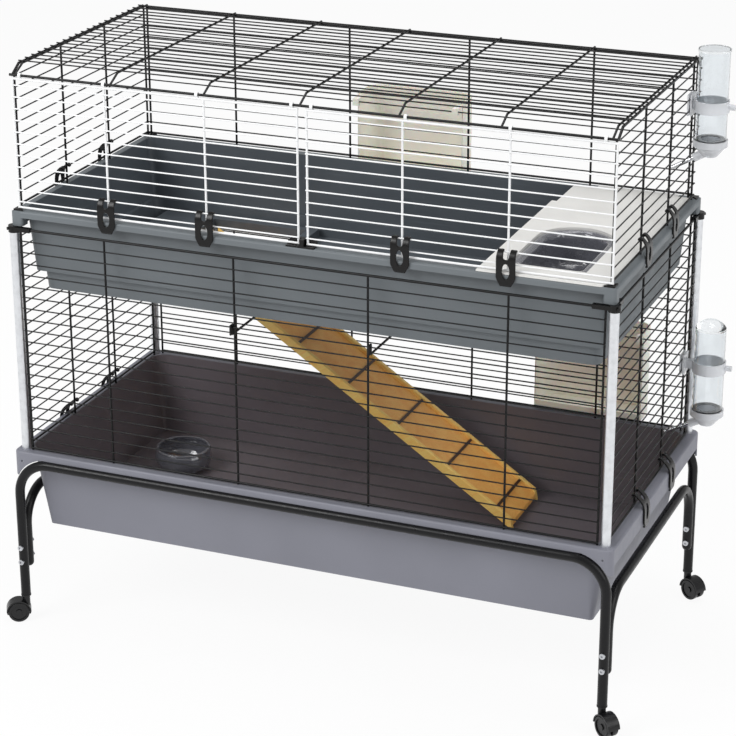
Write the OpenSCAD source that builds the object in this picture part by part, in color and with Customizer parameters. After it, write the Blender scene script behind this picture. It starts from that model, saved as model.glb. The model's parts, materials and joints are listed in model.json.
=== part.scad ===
/* [Stand] */
// height of the lower tray rim above the floor
lower_rim_z = 366; // [300:1:450]
// outer diameter of the stand tubes
tube_d = 19; // [15:0.5:22]
// wall of the stand tubes
tube_wall = 1.5; // [1:0.1:2.5]
// centre-line radius of the tube bends
bend_r = 67; // [45:1:70]
// height of the side tube ends above the floor
side_leg_z = 110; // [100:1:120]
// height of the side tube runs above the floor
side_run_z = 265.5; // [255:0.5:300]
// height of the lower bolt in each leg pair
bolt_z = 130; // [126:1:145]
// distance between the two bolts of a leg pair
bolt_pitch = 31; // [20:1:40]

/* [Casters] */
// diameter of a caster wheel
wheel_d = 42; // [34:1:44]
// width of one wheel of the pair
wheel_w = 10; // [7:0.5:12]
// height of a caster from the floor to the leg socket
caster_h = 53.5; // [52:0.5:60]
// distance of the axle behind the swivel stem
caster_trail = 16; // [12:0.5:18]

/* [Lower tray] */
// half length of the lower tray over its rim
lower_half_x = 606; // [500:1:700]
// half depth of the lower tray over its rim
lower_half_y = 298; // [290:1:360]
// height of the lower tray from its underside to its rim
lower_tray_h = 168; // [120:1:180]
// slope of the lower tray walls, sideways travel per height
lower_taper = 0.16; // [0.05:0.01:0.18]
// wall of both trays
tray_wall = 3; // [2.5:0.1:4]

/* [Lower cage] */
// distance between neighbouring wires
wire_pitch = 22.5; // [20:0.1:23]
// diameter of the thin wires
wire_d = 2.6; // [2:0.1:2.8]
// diameter of the crossing wires
cross_d = 4.2; // [3.6:0.1:4.4]
// diameter of the edge wires
edge_d = 5; // [4.4:0.1:5.2]
// height of the lower cage from rim to edge wire
lower_cage_h = 451.5; // [445:0.5:458]
// diameter of the corner posts
post_d = 18; // [16:0.5:19]

/* [Upper tray] */
// how far the upper tray's rim stays inside the lower tray's rim
upper_inset = 16; // [15:0.5:17]
// height of the upper tray from its underside to its rim
upper_tray_h = 163.5; // [150:0.5:165]
// height of the ramp hole collar above the tray floor
collar_h = 18; // [12:1:24]
// length of the ramp hole
hole_l = 205; // [190:1:230]
// depth of the ramp hole
hole_w = 168; // [166:1:180]

/* [Upper cage] */
// height of the roof wires above the upper rim
roof_h = 278.5; // [270:0.5:285]
// drop of the front bar below the roof
front_drop = 18.5; // [14:0.5:22]
// gap between the two doors
door_gap = 14; // [12:0.5:18]

/* [Clips] */
// width of a clip
clip_w = 36; // [30:1:40]
// height of a side clip above its wire
clip_rise = 11; // [8:0.5:12]

/* [Ramp] */
// slope of the ramp in degrees
ramp_tilt = 33.9; // [32:0.1:36]
// width of the ramp over its rails
ramp_w = 160; // [140:1:160]
// number of treads
tread_count = 7; // [5:1:8]
// distance from the last tread to the ramp's lower end
tread_end = 53.5; // [40:0.1:120]

/* [Bottles] */
// diameter of both drinking bottles
bottle_d = 59; // [50:0.5:62]
// height of the bottle bodies
bottle_h = 172; // [150:1:185]
// diameter of the drinking tubes
spout_d = 8; // [6:0.5:9]

/* [Bowls and racks] */
// largest radius of the lower bowl
bowl_r = 59; // [50:1:65]
// height of the lower bowl
bowl_h = 47; // [38:1:52]
// width of a hay rack
rack_w = 223; // [180:1:230]
// depth of a hay rack
rack_depth = 76; // [60:1:90]
// height of a hay rack
rack_h = 184; // [150:1:184]
// length of the shelter along the cage
shelter_l = 237; // [228:1:250]
// width of the shelter bay
bay_w = 145; // [130:1:150]
// depth of the upper bowl
upper_bowl_h = 70; // [50:1:90]

/* [Hidden] */
$fn = 48;
wire_fn = 16;
eps = 1;
run_gap = 0.06;
slip = 0.3;

black = [0.06, 0.06, 0.06];
clip_black = [0.09, 0.07, 0.06];
white = [0.95, 0.95, 0.95];
silver = [0.85, 0.86, 0.87];
steel = [0.7, 0.71, 0.72];
grey = [0.46, 0.48, 0.5];
dark_grey = [0.36, 0.39, 0.42];
cream = [0.88, 0.87, 0.86];
straw = [0.88, 0.83, 0.76];
smoke = [0.2, 0.19, 0.21];
wood = [0.83, 0.6, 0.3];
light_wood = [0.95, 0.78, 0.5];
dark_wood = [0.2, 0.13, 0.08];
clear = [0.8, 0.88, 0.95, 0.4];
cap_blue = [0.75, 0.82, 0.88];

// rims
lower_band = 13;
upper_band = 12.5;
upper_half_x = lower_half_x - upper_inset;
upper_half_y = lower_half_y - upper_inset;
lower_over_x = 20;
lower_over_y = 21;
upper_over_x = 14;
upper_over_y = 22;
lower_rim_r = 14;
upper_rim_r = 6;
rim_plate = 3;
rim_skin = 3;
rim_round = 4;
lower_floor_z = lower_rim_z - lower_tray_h;
lower_inside_z = lower_floor_z + 4;

// stand
run_z = lower_rim_z - lower_band - tube_d / 2;
leg_x = lower_half_x - tube_d / 2 + 0.5;
leg_y = lower_half_y - 1;
side_y = leg_y - tube_d - 0.5;
leg_bottom = caster_h + 2.5;
bend_z = run_z - bend_r;
bolt_d = 6;
bolt_head_d = 11;
bolt_head_h = 3.5;
nut_h = 5;

// lower cage
cage_top_z = lower_rim_z + lower_cage_h;
first_wire = 23.3;
lower_wires = floor((lower_cage_h - first_wire - 10) / wire_pitch) + 1;
lower_wire_z = lower_rim_z + first_wire;
post_x = lower_half_x - 19;
post_y = lower_half_y - 20;
lower_plane_x = post_x;
lower_plane_y = post_y + 5;
cross_back = (wire_d + cross_d) / 2 - 0.4;
lower_panel_x = post_x - post_d / 2 - 4;
lower_panel_y = post_y - post_d / 2 - 3;
lower_side_cross_y = 88;
collar_low = cage_top_z - 7.5;
collar_top = cage_top_z + 5.5;
foot_h = 16.5;
foot_w = 24;

// upper tray
upper_rim_z = collar_top + foot_h + upper_band;
upper_floor_z = upper_rim_z - upper_tray_h;
upper_inside_z = upper_floor_z + 3.5;
upper_taper = 0.1;
upper_wall_x = upper_half_x - upper_over_x;
upper_wall_y = upper_half_y - upper_over_y;
step_h = 38;
step_in = 9;
hole_x0 = 185 - upper_half_x;
hole_x1 = hole_x0 + hole_l;
hole_y0 = upper_half_y - 242;
hole_y1 = hole_y0 + hole_w;
collar_z = upper_inside_z + collar_h;
collar_left = 115;
collar_right = 20;
collar_side = 18;

// upper cage
roof_z = upper_rim_z + roof_h;
bar_z = roof_z - front_drop;
side_plane = upper_half_x - 11;
rear_plane = upper_half_y - 20;
door_plane = -(upper_half_y - 10);
door_wire_plane = door_plane - 3;
chamfer_y = door_plane + 31;
upper_wire_z = upper_rim_z + 9;
upper_pitch = 22.4;
upper_wires = 12;
upper_cross_y = 88;
upper_cross_x = 125;
roof_wires = 21;
ring_r = 5;
door_left = -side_plane + 1;
door_mid = 4;
door_wires = 11;
door_wire_z = upper_rim_z + 17.5;
door_low_z = upper_rim_z + 5.6;
roof_cross_z = roof_z - (wire_d + cross_d) / 2 + 0.4;

// clips
clip_t = 4.5;
clip_eye_r = 4.4;
door_clip_z = door_wire_z + upper_pitch;
side_clip_z = upper_wire_z + upper_pitch;
door_clip_rise = 7;
clip_corner = 8;
door_clip_reach = upper_half_y + slip + door_wire_plane;
side_clip_reach = upper_half_x + slip - side_plane;
lower_clip_reach = lower_half_x + 0.8 - lower_plane_x;

// ramp
ramp_run = cos(ramp_tilt);
ramp_rise = sin(ramp_tilt);
pivot_x = hole_x0 + 8;
pivot_z = upper_floor_z - 1.8;
rail_low = 11;
rail_high = 7;
rail_t = 10;
pivot_r = 5;
ramp_y = hole_y0 + 6 + ramp_w / 2;
ramp_len = (pivot_z - rail_low * ramp_run - lower_inside_z - 0.2) / ramp_rise;
first_tread = 36.8;
tread_pitch = (ramp_len - first_tread - tread_end) / (tread_count - 1);

// drinking bottles
upper_bottle_x = upper_half_x + 28;
upper_bottle_y = upper_half_y - 69;
upper_bottle_z = upper_rim_z + 135;
lower_bottle_x = lower_half_x + 31;
lower_bottle_y = lower_half_y - 79;
lower_bottle_z = lower_rim_z + 81;
ring_t = 2.5;
ring_h = 22;
ring_in = bottle_d / 2 + slip;
ring_out = ring_in + ring_t;
knob_l = 12;
plate_t = 3;

// shelter and bowls
shelter_t = 3.2;
shelter_right = side_plane - 7;
shelter_x = shelter_right - shelter_l;
bay_x = upper_half_x - 143;
bay_y0 = 55 - upper_half_y;
bay_r = bay_w / 2;
bay_yc = -64;
bay_step = 7;
bay_lip = 6;

// centring
lower_knob_reach = lower_bottle_x + ring_out + knob_l;
front_left_turn = 210.6;
front_right_turn = 322;
rear_right_turn = 330;
rear_left_turn = 130;
hood_r = wheel_d / 2 + 3.6;
pair_half = wheel_w + 3;
hood_reach = caster_trail + sqrt(hood_r * hood_r - 1);
left_reach = leg_x + hood_reach * abs(cos(front_left_turn)) + pair_half * abs(sin(front_left_turn));
rear_reach = lower_plane_y + 3 + rack_depth;
front_reach = leg_y + hood_reach * abs(sin(front_right_turn)) + pair_half * abs(cos(front_right_turn));
shift_x = (left_reach - lower_knob_reach) / 2;
shift_y = (front_reach - rear_reach) / 2;

// moves the cage from its plan centre to the centre of its outer box
module place() {
  translate([shift_x, shift_y, 0])
    children();
}

// cylinder along X, centred
module bar_x(l, d, n = wire_fn) {
  rotate([0, 90, 0])
    cylinder(h = l, d = d, center = true, $fn = n);
}

// cylinder along Y, centred
module bar_y(l, d, n = wire_fn) {
  rotate([90, 0, 0])
    cylinder(h = l, d = d, center = true, $fn = n);
}

// straight round bar between two points
module bar_between(a, b, d, n = wire_fn) {
  v = b - a;
  l = norm(v);
  turn = atan2(v[1], v[0]);
  lean = acos(v[2] / l);
  translate(a)
    rotate([0, lean, turn])
      cylinder(h = l, d = d, $fn = n);
}

module mirror_x() {
  children();
  mirror([1, 0, 0])
    children();
}

module mirror_y() {
  children();
  mirror([0, 1, 0])
    children();
}

// plate with rounded corners, centred, standing on z = 0
module slab(hx, hy, r, h) {
  translate([-hx + r, -hy, 0])
    cube([2 * (hx - r), 2 * hy, h]);
  translate([-hx, -hy + r, 0])
    cube([2 * hx, 2 * (hy - r), h]);
  for (sx = [-1, 1], sy = [-1, 1])
    translate([sx * (hx - r), sy * (hy - r), 0])
      cylinder(h = h, r = r);
}

// slab with a rounded upper edge
module soft_slab(hx, hy, r, h, e) {
  slab(hx, hy, r, h - e);
  slab(hx - e, hy - e, r - e, h);
  for (s = [-1, 1]) {
    translate([0, s * (hy - e), h - e])
      bar_x(2 * (hx - r), 2 * e, $fn);
    translate([s * (hx - e), 0, h - e])
      bar_y(2 * (hy - r), 2 * e, $fn);
  }
  for (sx = [-1, 1], sy = [-1, 1])
    translate([sx * (hx - r), sy * (hy - r), h - e])
      rotate_extrude()
        intersection() {
          translate([r - e, 0])
            circle(r = e);
          square([2 * r, 2 * e]);
        }
}

// tapering tub body hanging below z = 0
module tub_body(hx, hy, r, taper, h) {
  cx = hx - r;
  cy = hy - r;
  low = r - taper * h;
  for (sx = [-1, 1], sy = [-1, 1])
    translate([sx * cx, sy * cy, -h])
      cylinder(h = h, r1 = low, r2 = r);
  rotate([90, 0, 0])
    linear_extrude(2 * cy, center = true)
      polygon([[-cx - low, -h], [cx + low, -h], [cx + r, 0], [-cx - r, 0]]);
  rotate([90, 0, 90])
    linear_extrude(2 * cx, center = true)
      polygon([[-cy - low, -h], [cy + low, -h], [cy + r, 0], [-cy - r, 0]]);
}

// hollow rim with a skirt, its top at z = 0
module tray_rim(hx, hy, r, band) {
  difference() {
    translate([0, 0, -band])
      soft_slab(hx, hy, r, band, rim_round);
    translate([0, 0, -band - eps])
      slab(hx - rim_skin, hy - rim_skin, r - rim_skin, band + eps - rim_plate);
  }
}

// quarter bend of tube in the X-Z plane, from +X round to -Z
module tube_corner(r, d) {
  rotate([90, 0, 0])
    rotate_extrude(angle = 90)
      translate([r, 0])
        circle(d = d);
}

// U-shaped tube: run along X at z = 0, both legs down
module u_tube(half, leg, d) {
  bar_x(2 * (half - bend_r), d, $fn);
  mirror_x()
    translate([half - bend_r, 0, -bend_r]) {
      tube_corner(bend_r, d);
      translate([bend_r, 0, bend_r - leg])
        cylinder(h = leg - bend_r, d = d);
    }
}

// bolt holes of one leg, seen from a tube run at height top
module bolt_holes(top) {
  for (k = [0, 1])
    translate([0, 0, bolt_z + k * bolt_pitch - top])
      bar_y(3 * tube_d, bolt_d + 0.4, $fn);
}

// long tube with legs that take the casters
module long_tube() {
  leg = run_z - leg_bottom;
  difference() {
    u_tube(leg_x, leg, tube_d);
    u_tube(leg_x, leg + eps, tube_d - 2 * tube_wall);
    mirror_x()
      translate([leg_x, 0, 0])
        bolt_holes(run_z);
  }
}

// shorter tube with closed round ends, bracing the legs of one short side
module short_tube() {
  leg = side_run_z - side_leg_z - tube_d / 2;
  difference() {
    union() {
      u_tube(side_y, leg, tube_d);
      mirror_x()
        translate([side_y, 0, -leg])
          sphere(d = tube_d);
    }
    u_tube(side_y, leg, tube_d - 2 * tube_wall);
    mirror_x()
      translate([side_y, 0, 0])
        rotate([0, 0, 90])
          bolt_holes(side_run_z);
  }
}

module front_frame_tube()
  color(black)
    place()
      translate([0, -leg_y, run_z])
        long_tube();

module rear_frame_tube()
  color(black)
    place()
      translate([0, leg_y, run_z])
        long_tube();

module left_frame_tube()
  color(black)
    place()
      translate([-leg_x, 0, side_run_z])
        rotate([0, 0, 90])
          short_tube();

module right_frame_tube()
  color(black)
    place()
      translate([leg_x, 0, side_run_z])
        rotate([0, 0, 90])
          short_tube();

// bolt through a leg pair, its head on the front side
module frame_bolt() {
  reach = 2 * tube_d + 0.5;
  difference() {
    translate([0, -bolt_head_h, 0])
      rotate([-90, 0, 0])
        cylinder(h = bolt_head_h, d = bolt_head_d);
    translate([0, -bolt_head_h - eps, 0])
      rotate([-90, 0, 0])
        cylinder(h = eps + 2, d = 5, $fn = 6);
  }
  rotate([-90, 0, 0])
    cylinder(h = reach + nut_h + 1, d = bolt_d);
  translate([0, reach, 0])
    rotate([-90, 0, 0])
      cylinder(h = nut_h, d = bolt_head_d, $fn = 6);
}

module frame_bolts()
  color(steel)
    place()
      for (x = [-leg_x, leg_x], y = [-leg_y, side_y], k = [0, 1])
        translate([x, y - tube_d / 2, bolt_z + k * bolt_pitch])
          frame_bolt();

stem_d = 8;
socket_depth = 32;

module caster_socket() {
  difference() {
    union() {
      translate([0, 0, caster_h])
        cylinder(h = 2.5, d = tube_d + 1);
      translate([0, 0, caster_h])
        cylinder(h = socket_depth + 4, d = tube_d - 2 * tube_wall - 0.05);
    }
    translate([0, 0, caster_h - eps])
      cylinder(h = socket_depth + eps, d = stem_d + 2 * run_gap);
  }
}

module caster_sockets()
  color(black)
    place()
      for (x = [-leg_x, leg_x], y = [-leg_y, leg_y])
        translate([x, y, 0])
          caster_socket();

hood_gap = 0.8;
web_t = 5;
axle_d = 4;

// hood with its stem, swivel axis at the origin, wheels trailing to +X
module caster_hood() {
  axle_z = wheel_d / 2;
  difference() {
    union() {
      intersection() {
        translate([caster_trail, 0, axle_z])
          bar_y(2 * pair_half, 2 * hood_r, $fn);
        translate([caster_trail - hood_r, -pair_half, axle_z + 1])
          cube([2 * hood_r, 2 * pair_half, hood_r]);
      }
      translate([0, 0, axle_z + 8])
        cylinder(h = caster_h - axle_z - 8 - 0.1, d = 15);
    }
    translate([caster_trail, 0, axle_z])
      bar_y(2 * pair_half + 2 * eps, wheel_d + 2 * hood_gap, $fn);
  }
  difference() {
    union() {
      intersection() {
        translate([caster_trail, 0, axle_z])
          bar_y(web_t, 2 * hood_r, $fn);
        translate([caster_trail - hood_r, -web_t, axle_z - 9])
          cube([2 * hood_r, 2 * web_t, 3 * hood_r]);
      }
      translate([-7, -web_t / 2, axle_z + 8])
        cube([14, web_t, caster_h - axle_z - 12]);
    }
    translate([caster_trail, 0, axle_z])
      bar_y(2 * web_t, axle_d + 2 * run_gap, $fn);
  }
  translate([0, 0, caster_h - 1])
    cylinder(h = socket_depth - 1, d = stem_d);
}

module wheel_profile() {
  r = wheel_d / 2;
  difference() {
    union() {
      square([r - 2, wheel_w]);
      translate([0, 2])
        square([r, wheel_w - 4]);
      translate([r - 2, 2])
        circle(r = 2);
      translate([r - 2, wheel_w - 2])
        circle(r = 2);
    }
    translate([6, wheel_w - 2])
      square([r - 11, 3]);
  }
}

// two wheels on one axle, axle at the origin along Y
module wheel_pair() {
  bar_y(2 * pair_half - 1, axle_d, $fn);
  mirror_y()
    translate([0, 3, 0])
      rotate([-90, 0, 0])
        rotate_extrude()
          wheel_profile();
}

module caster_at(x, y, turn) {
  place()
    translate([x, y, 0])
      rotate([0, 0, turn])
        children();
}

module wheels_at(x, y, turn)
  caster_at(x, y, turn)
    translate([caster_trail, 0, wheel_d / 2])
      wheel_pair();

module front_left_caster_hood()
  color(black)
    caster_at(-leg_x, -leg_y, front_left_turn)
      caster_hood();

module front_left_caster_wheels()
  color(black)
    wheels_at(-leg_x, -leg_y, front_left_turn);

module front_right_caster_hood()
  color(black)
    caster_at(leg_x, -leg_y, front_right_turn)
      caster_hood();

module front_right_caster_wheels()
  color(black)
    wheels_at(leg_x, -leg_y, front_right_turn);

module rear_left_caster_hood()
  color(black)
    caster_at(-leg_x, leg_y, rear_left_turn)
      caster_hood();

module rear_left_caster_wheels()
  color(black)
    wheels_at(-leg_x, leg_y, rear_left_turn);

module rear_right_caster_hood()
  color(black)
    caster_at(leg_x, leg_y, rear_right_turn)
      caster_hood();

module rear_right_caster_wheels()
  color(black)
    wheels_at(leg_x, leg_y, rear_right_turn);

lower_wall_x = lower_half_x - lower_over_x;
lower_wall_y = lower_half_y - lower_over_y;
lower_wall_r = 34;
guard_z = lower_rim_z - lower_band;
guard_drop = 38;
skirt_z = guard_z - 21;
guard_arc = bend_r + tube_d / 2 + 2;

// pointed corner guards below the rim of the long sides, each with a small hole
module corner_guards() {
  for (sx = [0, 1], sy = [0, 1])
    mirror([sx, 0, 0])
      mirror([0, sy, 0])
        difference() {
          union() {
            translate([leg_x - bend_r, lower_half_y - rim_skin, guard_z - guard_drop])
              cube([lower_half_x - lower_rim_r - leg_x + bend_r, rim_skin, guard_drop + 1]);
            translate([lower_half_x - lower_rim_r, lower_half_y - lower_rim_r, guard_z - guard_drop])
              rotate_extrude(angle = 90)
                translate([lower_rim_r - rim_skin, 0])
                  square([rim_skin, guard_drop + 1]);
          }
          translate([leg_x - bend_r, lower_half_y, bend_z])
            bar_y(6 * lower_rim_r, 2 * guard_arc, $fn);
          translate([lower_half_x - 18, lower_half_y, guard_z - 7])
            bar_y(12, 4, $fn);
        }
}

// skirt below the rim of both short sides, which the side clips hook under
module side_skirts() {
  straight = lower_half_y - lower_rim_r;
  for (s = [0, 1])
    mirror([s, 0, 0])
      translate([lower_half_x - rim_skin, -straight, skirt_z])
        cube([rim_skin, 2 * straight, guard_z - skirt_z + 1]);
}

module lower_tray()
  color(grey)
    place() {
      difference() {
        union() {
          translate([0, 0, lower_rim_z])
            tray_rim(lower_half_x, lower_half_y, lower_rim_r, lower_band);
          translate([0, 0, lower_rim_z - rim_plate / 2])
            tub_body(lower_wall_x, lower_wall_y, lower_wall_r, lower_taper, lower_tray_h - rim_plate / 2);
        }
        translate([0, 0, lower_rim_z + eps])
          tub_body(
            lower_wall_x - tray_wall + lower_taper * eps,
            lower_wall_y - tray_wall + lower_taper * eps,
            lower_wall_r - tray_wall + lower_taper * eps,
            lower_taper, lower_rim_z + eps - lower_inside_z);
      }
      corner_guards();
      side_skirts();
    }

post_top = cage_top_z - 2.5;

module corner_posts()
  color(silver)
    place()
      for (x = [-post_x, post_x], y = [-post_y, post_y])
        translate([x, y, lower_rim_z])
          difference() {
            cylinder(h = post_top - lower_rim_z, d = post_d);
            translate([0, 0, -eps])
              cylinder(h = lower_cage_h, d = post_d - 3);
          }

arm_l = 38;
arm_w = 10;
arm_h = 8;

// collar on a post with an arm round each edge wire, for the +X +Y corner
module post_connector() {
  difference() {
    union() {
      translate([post_x, post_y, collar_low])
        cylinder(h = collar_top - collar_low, d = post_d + 4);
      translate([post_x - arm_l, lower_plane_y - arm_w / 2, cage_top_z - arm_h / 2])
        cube([arm_l, arm_w, arm_h]);
      translate([lower_plane_x - arm_w / 2, post_y - arm_l, cage_top_z - arm_h / 2])
        cube([arm_w, arm_l, arm_h]);
      translate([post_x, post_y, cage_top_z])
        rotate([0, 90, 45])
          cylinder(h = post_d / 2 + 5, d = 6);
    }
    translate([post_x, post_y, collar_low - eps])
      cylinder(h = post_top - collar_low + eps, d = post_d + 0.1);
    translate([0, lower_plane_y, cage_top_z])
      bar_x(2 * lower_panel_x + 2 * slip, edge_d + 0.2);
    translate([lower_plane_x, 0, cage_top_z])
      bar_y(2 * lower_panel_y + 2 * slip, edge_d + 0.2);
    translate([lower_panel_x - cross_d / 2, lower_plane_y - cross_back, cage_top_z - arm_h])
      cylinder(h = arm_h + 3, d = cross_d + 0.4, $fn = wire_fn);
    translate([lower_plane_x - cross_back, lower_panel_y - cross_d / 2, cage_top_z - arm_h])
      cylinder(h = arm_h + 3, d = cross_d + 0.4, $fn = wire_fn);
  }
}

module post_connectors()
  color(black)
    place()
      for (sx = [0, 1], sy = [0, 1])
        mirror([sx, 0, 0])
          mirror([0, sy, 0])
            post_connector();

// welded panel in the X-Z plane, thin wires at y = 0, crossing wires on the +Y side
module wire_panel(half, low, top, first, pitch, count, crosses, low_d) {
  for (i = [0 : count - 1])
    translate([0, 0, first + i * pitch])
      bar_x(2 * half, wire_d);
  translate([0, 0, top])
    bar_x(2 * half, edge_d);
  translate([0, 0, low + 3 + low_d / 2])
    bar_x(2 * half, low_d);
  for (x = crosses)
    translate([x, cross_back, low])
      cylinder(h = top - low, d = cross_d, $fn = wire_fn);
}

lower_cross = lower_panel_x - cross_d / 2;
cross_far = 0.6924 * lower_cross;
cross_near = cross_far / 3;
lower_crosses = [-lower_cross, -cross_far, -cross_near, cross_near, cross_far, lower_cross];
lower_side_cross = lower_panel_y - cross_d / 2;
lower_side_crosses = [-lower_side_cross, -lower_side_cross_y, lower_side_cross_y, lower_side_cross];

module lower_panel(half, crosses)
  wire_panel(half, lower_rim_z, cage_top_z, lower_wire_z, wire_pitch, lower_wires, crosses, cross_d);

module lower_front_panel()
  color(black)
    place()
      translate([0, -lower_plane_y, 0])
        lower_panel(lower_panel_x, lower_crosses);

module lower_rear_panel()
  color(black)
    place()
      translate([0, lower_plane_y, 0])
        mirror([0, 1, 0])
          lower_panel(lower_panel_x, lower_crosses);

module lower_left_panel()
  color(black)
    place()
      translate([-lower_plane_x, 0, 0])
        rotate([0, 0, -90])
          lower_panel(lower_panel_y, lower_side_crosses);

module lower_right_panel()
  color(black)
    place()
      translate([lower_plane_x, 0, 0])
        rotate([0, 0, 90])
          lower_panel(lower_panel_y, lower_side_crosses);

rod_d = 4.5;
rod_x = 137;
rod_wire_z = lower_wire_z + (lower_wires - 6) * wire_pitch;
rod_z = rod_wire_z - 14.6;
rod_in = lower_plane_y - 4;
rod_out = lower_plane_y + 4.5;
rod_over = rod_wire_z + (wire_d + rod_d) / 2 + 0.05;

// support rod hooked over one wire of the front and of the rear panel
module support_rod() {
  bar_y(2 * rod_in, rod_d);
  mirror_y() {
    path = [
      [0, rod_in, 0], [0, rod_in, rod_over - rod_z],
      [0, rod_out, rod_over - rod_z], [0, rod_out, 2]
    ];
    for (i = [0 : 2])
      bar_between(path[i], path[i + 1], rod_d);
    for (p = path)
      translate(p)
        sphere(d = rod_d, $fn = wire_fn);
  }
}

module support_rods()
  color(black)
    place()
      for (x = [-rod_x, rod_x])
        translate([x, 0, rod_z])
          support_rod();

// clip on a wire along X at the origin, its plate hanging on the -Y side
module clip(reach, drop, rise, hook) {
  prong = (clip_w - cross_d) / 2 - 2.5;
  plate_y = -reach - clip_t;
  difference() {
    union() {
      translate([-clip_w / 2, plate_y, -drop + clip_corner])
        cube([clip_w, clip_t, drop + rise - clip_corner]);
      translate([-clip_w / 2 + clip_corner, plate_y, -drop])
        cube([clip_w - 2 * clip_corner, clip_t, clip_corner + 1]);
      for (s = [-1, 1])
        translate([s * (clip_w / 2 - clip_corner), plate_y, -drop + clip_corner])
          rotate([-90, 0, 0])
            cylinder(h = clip_t, r = clip_corner);
      for (s = [-1, 1])
        translate([s * (clip_w - prong) / 2, 0, 0]) {
          bar_x(prong, 2 * clip_eye_r, $fn);
          translate([-prong / 2, -reach - 0.5, -clip_eye_r])
            cube([prong, reach + 0.5, 2 * clip_eye_r]);
        }
      translate([-clip_w / 2 + clip_corner, -reach - 1, -drop])
        cube([clip_w - 2 * clip_corner, hook + 1, 5]);
    }
    bar_x(2 * clip_w, wire_d + 2 * run_gap);
    translate([-cross_d / 2 - 2.5, -reach - 2 * clip_t, -4])
      cube([cross_d + 5, reach + 4 * clip_t, rise + 8]);
    translate([0, 0, -4])
      bar_y(4 * clip_t + 2 * reach, cross_d + 5, $fn);
    translate([0, 0, -24])
      bar_y(4 * clip_t + 2 * reach, 11, $fn);
    translate([-5.5, -2 * reach - 2 * clip_t, -24])
      cube([11, 2 * reach + 4 * clip_t, 5]);
    translate([0, 0, -19])
      bar_y(4 * clip_t + 2 * reach, 11, $fn);
  }
}

clip_hook = 3;
lower_clip_z = lower_wire_z;
lower_clip_drop = lower_clip_z - skirt_z + 7;
upper_clip_drop = side_clip_z - upper_rim_z + upper_band + 9;
door_clip_drop = door_clip_z - upper_rim_z + upper_band + 9;

module side_clip_at(s, y, plane, z, reach, drop, hook)
  color(clip_black)
    place()
      translate([s * plane, y, z])
        rotate([0, 0, s * 90])
          clip(reach, drop, clip_rise, hook);

module lower_left_front_clip()
  side_clip_at(-1, -lower_side_cross_y, lower_plane_x, lower_clip_z, lower_clip_reach, lower_clip_drop, clip_hook);

module lower_left_rear_clip()
  side_clip_at(-1, lower_side_cross_y, lower_plane_x, lower_clip_z, lower_clip_reach, lower_clip_drop, clip_hook);

module lower_right_front_clip()
  side_clip_at(1, -lower_side_cross_y, lower_plane_x, lower_clip_z, lower_clip_reach, lower_clip_drop, clip_hook);

module lower_right_rear_clip()
  side_clip_at(1, lower_side_cross_y, lower_plane_x, lower_clip_z, lower_clip_reach, lower_clip_drop, clip_hook);

module upper_left_front_clip()
  side_clip_at(-1, -upper_cross_y, side_plane, side_clip_z, side_clip_reach, upper_clip_drop, clip_hook);

module upper_left_rear_clip()
  side_clip_at(-1, upper_cross_y, side_plane, side_clip_z, side_clip_reach, upper_clip_drop, clip_hook);

module upper_right_front_clip()
  side_clip_at(1, -upper_cross_y, side_plane, side_clip_z, side_clip_reach, upper_clip_drop, clip_hook);

module upper_right_rear_clip()
  side_clip_at(1, upper_cross_y, side_plane, side_clip_z, side_clip_reach, upper_clip_drop, clip_hook);

// ramp parts are drawn along their slope: x down the ramp, z away from it
module ramp_frame()
  place()
    translate([pivot_x, ramp_y, pivot_z])
      rotate([0, ramp_tilt, 0])
        children();

module rail_shape() {
  circle(r = rail_high);
  polygon([
    [0, -rail_high], [12, -rail_low], [ramp_len, -rail_low],
    [ramp_len - rail_low - rail_high, rail_high], [0, rail_high]
  ]);
}

module ramp_rails()
  color(light_wood)
    ramp_frame() {
      for (s = [-1, 1])
        translate([0, s * (ramp_w - rail_t) / 2, 0])
          rotate([90, 0, 0])
            linear_extrude(rail_t, center = true)
              rail_shape();
      bar_y(ramp_w - rail_t, 2 * pivot_r, $fn);
    }

deck_start = 16;
deck_low = 1;
deck_high = 5;

module ramp_deck()
  color(wood)
    ramp_frame()
      rotate([90, 0, 0])
        linear_extrude(ramp_w - 2 * rail_t, center = true)
          polygon([
            [deck_start, -deck_low], [ramp_len - rail_low + deck_low, -deck_low],
            [ramp_len - rail_low - deck_high, deck_high], [deck_start, deck_high]
          ]);

tread_l = 6;
tread_h = 4;

module ramp_treads()
  color(dark_wood)
    ramp_frame()
      for (i = [0 : tread_count - 1])
        translate([first_tread + i * tread_pitch - tread_l / 2, -ramp_w / 2 + rail_t + 1, deck_high])
          cube([tread_l, ramp_w - 2 * rail_t - 2, tread_h]);

bowl_x = 176 - lower_half_x;
bowl_y = lower_half_y - 214;
bowl_arc = 32;
bowl_wall = 2.5;

module bowl_profile() {
  c = [bowl_r - bowl_arc, bowl_h * 0.6];
  intersection() {
    union() {
      translate(c)
        circle(r = bowl_arc);
      square([bowl_r - bowl_arc + 3, bowl_h]);
      translate([bowl_r - 5, bowl_h - 2])
        circle(r = 2.6);
    }
    square([bowl_r + 2, bowl_h + 0.6]);
  }
}

module bowl_hollow() {
  c = [bowl_r - bowl_arc, bowl_h * 0.6];
  intersection() {
    union() {
      translate(c)
        circle(r = bowl_arc - bowl_wall);
      square([bowl_r - bowl_arc + 3, 2 * bowl_h]);
      translate([0, bowl_h - 4])
        square([bowl_r - 8, 8]);
    }
    translate([0, 3])
      square([bowl_r + 2, 2 * bowl_h]);
  }
}

module lower_bowl()
  color(smoke)
    place()
      translate([bowl_x, bowl_y, lower_inside_z])
        rotate_extrude()
          difference() {
            bowl_profile();
            bowl_hollow();
          }

rack_wall = 2.5;
rack_r = 30;

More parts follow.
